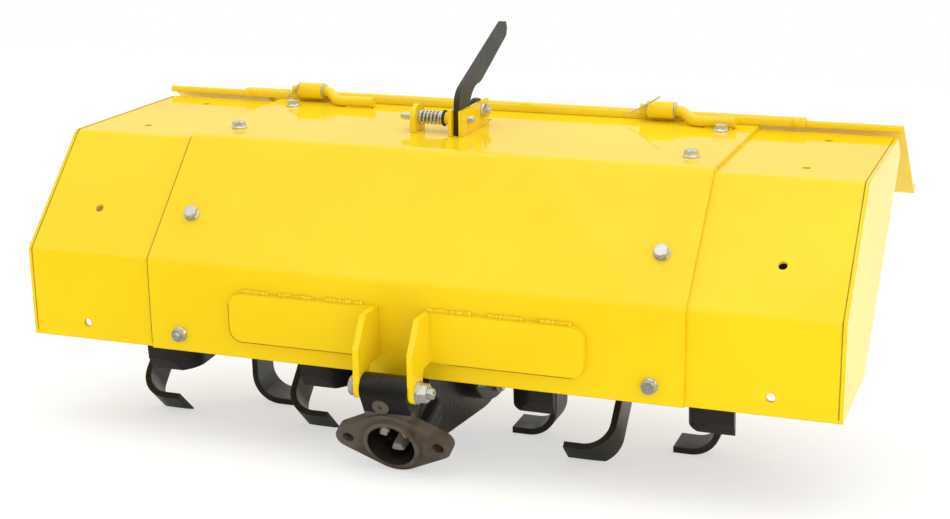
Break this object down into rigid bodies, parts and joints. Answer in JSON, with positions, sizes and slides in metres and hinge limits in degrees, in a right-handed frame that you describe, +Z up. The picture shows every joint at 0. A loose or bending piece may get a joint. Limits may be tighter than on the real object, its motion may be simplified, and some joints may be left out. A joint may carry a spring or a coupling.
{
  "type": "rotary tiller attachment",
  "caption": "Rotary tiller attachment for a two-wheel tractor: folded sheet hood with bolted side extensions, hinged rear flap, flanged gear case and a rotor of bent tines.",
  "frame": {"origin": "centre of the coupling bore on the flange face", "axes": "+X across the machine, to the right as seen from the coupling side; the coupling faces -Y; +Z up with the machine parked on its flange edge and tines"},
  "size_m": [0.888, 0.5172, 0.455],
  "materials": {
    "yellow_paint": "gloss",
    "black_steel": "semi-gloss",
    "zinc": "satin",
    "casting": "satin",
    "steel": "satin",
    "lever_steel": "satin"
  },
  "bodies": {
    "machine": {"centre_hood": "yellow_paint", "left_wing": "yellow_paint", "right_wing": "yellow_paint", "left_end_plate": "yellow_paint", "right_end_plate": "yellow_paint", "left_hitch_bracket": "yellow_paint", "right_hitch_bracket": "yellow_paint", "hitch_bolt": "zinc", "hitch_nut": "zinc", "gear_case": "casting", "case_plug": "zinc", "hood_bolts": "zinc", "lever_bracket": "yellow_paint", "lever_pivot": "zinc", "depth_lever": "lever_steel", "lock_pin": "zinc", "lock_spring": "zinc", "pin_eye": "yellow_paint", "left_hinge_rod": "yellow_paint", "right_hinge_rod": "yellow_paint", "hinge_washers": "zinc"},
    "flap": {"centre_flap": "yellow_paint", "left_flap_wing": "yellow_paint", "right_flap_wing": "yellow_paint", "left_hinge_tube": "yellow_paint", "right_hinge_tube": "yellow_paint", "flap_bolts": "zinc"},
    "rotor": {"rotor_shaft": "black_steel", "left_tines_1": "black_steel", "left_tines_2": "black_steel", "left_tines_3": "black_steel", "left_tines_4": "black_steel", "right_tines_1": "black_steel", "right_tines_2": "black_steel", "right_tines_3": "black_steel", "right_tines_4": "black_steel"},
    "input_shaft": {"drive_dog": "steel"}
  },
  "joints": [
    {"name": "rotor_spin", "type": "hinge", "parent": "machine", "child": "rotor", "pos_m": [0, 0.19274, 0.10966], "axis": [1, 0, 0], "continuous": true},
    {"name": "flap_swing", "type": "hinge", "parent": "machine", "child": "flap", "pos_m": [0, 0.30934, 0.33291], "axis": [1, 0, 0], "range_deg": [0, 80]},
    {"name": "input_spin", "type": "hinge", "parent": "machine", "child": "input_shaft", "pos_m": [0, 0, 0], "axis": [0, -0.8692, -0.4945], "continuous": true}
  ],
  "couplings": [
    {"joint": "input_spin", "follows": "rotor_spin", "ratio": 3}
  ]
}
